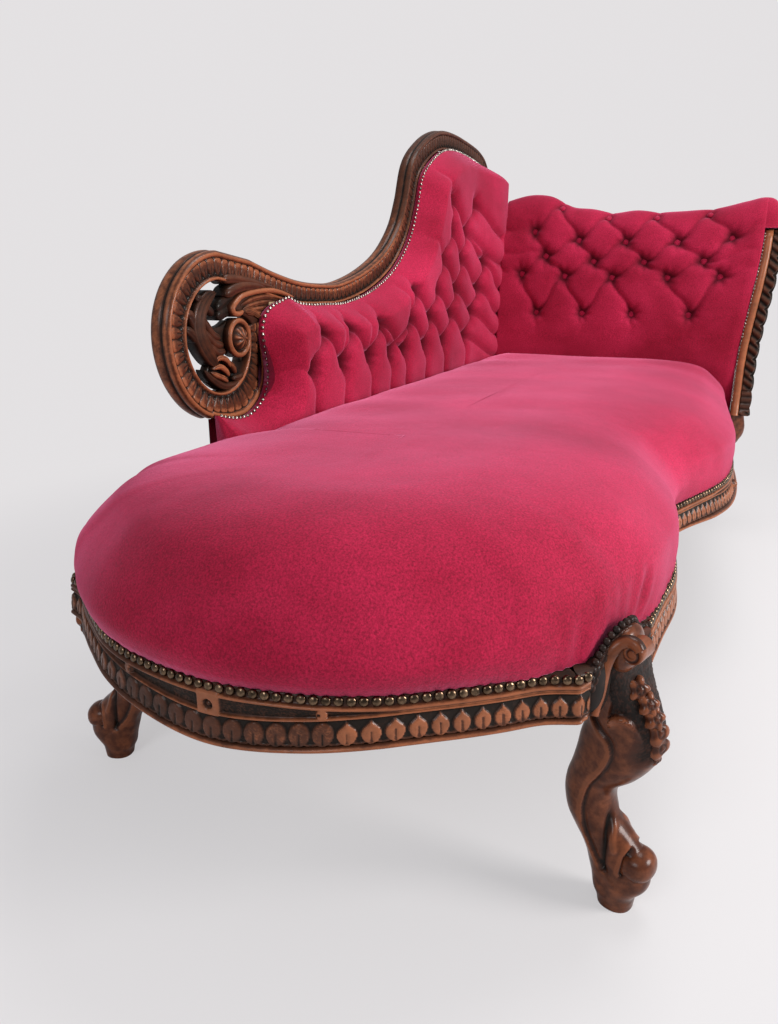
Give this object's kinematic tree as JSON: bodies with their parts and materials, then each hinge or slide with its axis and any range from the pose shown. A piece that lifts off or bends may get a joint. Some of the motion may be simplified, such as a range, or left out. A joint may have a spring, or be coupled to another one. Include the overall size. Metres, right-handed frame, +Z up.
{
  "type": "fainting couch",
  "caption": "Victorian carved walnut fainting couch with a serpentine seat, a back that sweeps from a pierced scroll to a high crest, and a deep-buttoned velvet head.",
  "frame": {"origin": "middle of the overall box, on the floor under the feet", "axes": "+X from the low foot end to the head end, +Y from the open front to the back, +Z up"},
  "size_m": [1.808, 0.8215, 0.9677],
  "materials": {
    "walnut": "carved and polished, dark in the recesses, worn brighter on the ridges",
    "beech": "sawn, unfinished",
    "steel": "plain, slightly dull",
    "linen": "jute webbing, hessian and hair stuffing",
    "velvet": "crimson cotton velvet with a pinker bloom where the pile catches the light",
    "lining": "black cotton",
    "nails": "antique domed upholstery nails, darkened with brighter tops"
  },
  "bodies": {
    "root": {"foot_rail": "walnut", "front_rail": "walnut", "back_rail": "walnut", "head_rail": "walnut", "leg_foot_front": "walnut", "leg_foot_back": "walnut", "leg_head_front": "walnut", "leg_head_back": "walnut", "rail_dowels": "beech", "corner_blocks": "beech", "corner_screws": "steel", "cross_rails": "beech", "seat_webbing": "linen", "seat_springs": "steel", "spring_hessian": "linen", "seat_stuffing": "linen", "seat_cover": "velvet", "dust_cover": "lining", "back_show_frame": "walnut", "volute_carving": "walnut", "volute_rosette": "walnut", "back_posts": "beech", "back_tack_rail": "beech", "back_webbing": "linen", "back_pad": "velvet", "back_buttons": "velvet", "outside_back_cover": "velvet", "head_facing": "walnut", "head_posts": "beech", "head_top_rail": "beech", "head_tack_rail": "beech", "head_webbing": "linen", "head_pad": "velvet", "head_buttons": "velvet", "outside_head_cover": "velvet"}
  },
  "joints": []
}
